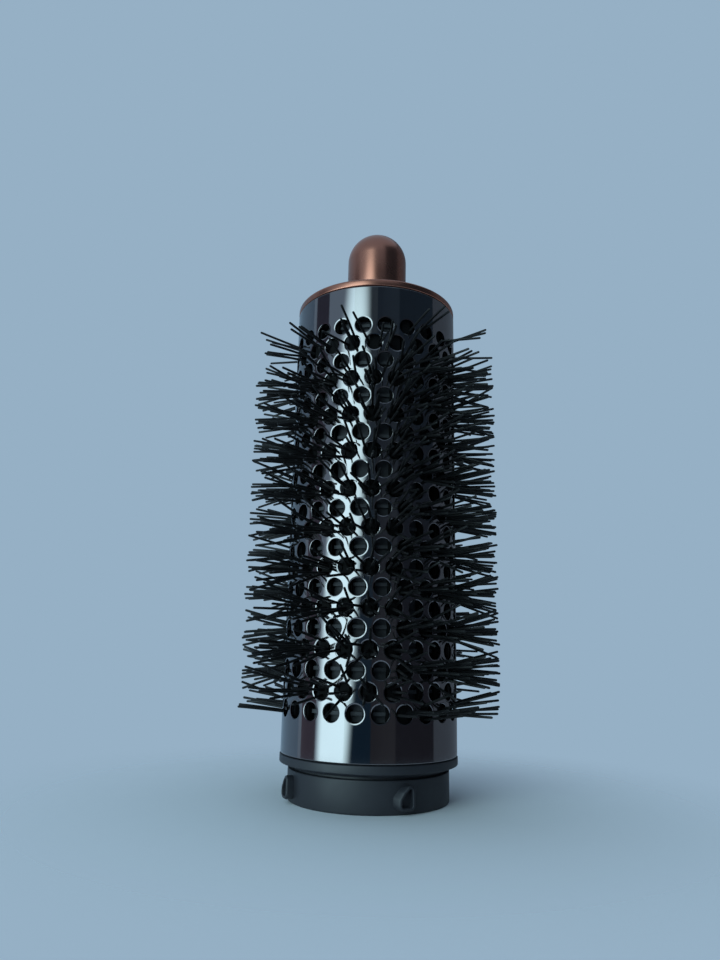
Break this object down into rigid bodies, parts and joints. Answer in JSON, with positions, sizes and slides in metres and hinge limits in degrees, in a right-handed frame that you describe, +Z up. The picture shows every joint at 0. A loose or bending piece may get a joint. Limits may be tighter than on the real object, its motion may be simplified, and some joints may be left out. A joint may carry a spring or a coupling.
{
  "type": "round barrel brush",
  "caption": "Round barrel hair brush that locks onto a hot-air styler: perforated polished sleeve with black bristles, copper-coloured finger tip, slate collar with bayonet lugs.",
  "frame": {"origin": "centre of the connector collar's open end, on which the brush stands when it is put down upright", "axes": "+Z up the barrel from the collar to the finger tip, -Y towards the viewer of the picture, +X to the viewer's right"},
  "size_m": [0.0614, 0.0614, 0.1456],
  "materials": {
    "slate_plastic": "fine moulded matte",
    "polished_metal": "mirror polished, dark nickel tone",
    "black_nylon": "drawn nylon with a soft sheen",
    "core_plastic": "plain moulded",
    "copper": "satin, copper-coloured",
    "steel": "plain"
  },
  "bodies": {
    "root": {"connector_collar": "slate_plastic", "flange_ring": "slate_plastic", "barrel_sleeve": "polished_metal", "bristle_carrier_1": "black_nylon", "bristle_carrier_2": "black_nylon", "bristle_carrier_3": "black_nylon", "bristle_carrier_4": "black_nylon", "core_spine": "core_plastic", "upper_disc": "core_plastic", "end_cap": "copper", "cool_tip": "copper", "tip_insulator": "core_plastic", "tie_washer": "steel", "tie_bolt": "steel", "collar_screw_1": "steel", "collar_screw_2": "steel", "collar_screw_3": "steel", "collar_screw_4": "steel"}
  },
  "joints": []
}
